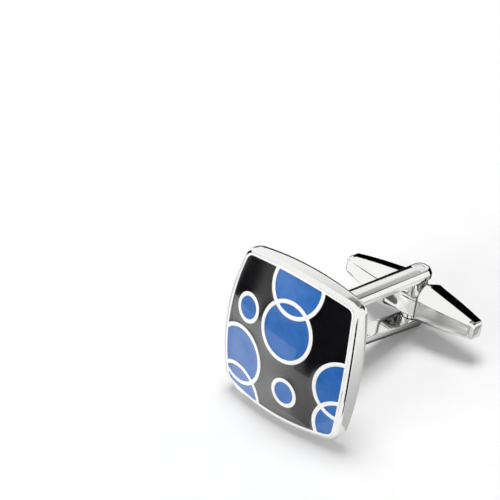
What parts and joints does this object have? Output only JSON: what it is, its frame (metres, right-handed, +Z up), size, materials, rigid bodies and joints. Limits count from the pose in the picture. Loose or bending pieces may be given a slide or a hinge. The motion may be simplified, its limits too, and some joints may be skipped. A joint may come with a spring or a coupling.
{
  "type": "enamelled square cufflink with a swivelling toggle",
  "caption": "Square domed cufflink with a bubble pattern in blue and black enamel, a forked bracket and a toggle bar that swivels for threading through a cuff.",
  "frame": {"origin": "middle of the flat back of the head, where the bracket is soldered on", "axes": "+Z up as the cufflink lies on a table, leaning back on the lower edge of its head and the end of its lower arm; +X to the right seen from the front; the face looks to -Y and about 15 degrees up"},
  "size_m": [0.0168, 0.0222, 0.016],
  "materials": {
    "head_plate": "mirror-polished bright white plate over cast brass",
    "black_enamel": "glossy opaque black enamel, polished nearly flush with the metal",
    "blue_enamel": "glossy opaque blue enamel, polished nearly flush with the metal",
    "bracket_plate": "polished bright white plate over brass",
    "pin_plate": "riveted steel pin, ends polished flush and plated",
    "toggle_plate": "polished bright white plate over cast brass"
  },
  "bodies": {
    "head": {"head": "head_plate", "enamel_black": "black_enamel", "enamel_top_bubble": "blue_enamel", "enamel_top_lens": "blue_enamel", "enamel_centre_bubble": "blue_enamel", "enamel_left_bubble": "blue_enamel", "enamel_left_lens": "blue_enamel", "enamel_left_crescent": "blue_enamel", "enamel_right_bubble": "blue_enamel", "enamel_right_lens": "blue_enamel", "enamel_right_crescent": "blue_enamel", "enamel_dot_upper": "blue_enamel", "enamel_dot_lower": "blue_enamel", "bracket": "bracket_plate", "pivot_pin": "pin_plate"},
    "toggle": {"toggle": "toggle_plate"}
  },
  "joints": [
    {"name": "toggle_swing", "type": "hinge", "parent": "head", "child": "toggle", "pos_m": [0, 0.01592, -0.00435], "axis": [0, 0.2754, 0.9613], "range_deg": [-90, 90]}
  ]
}
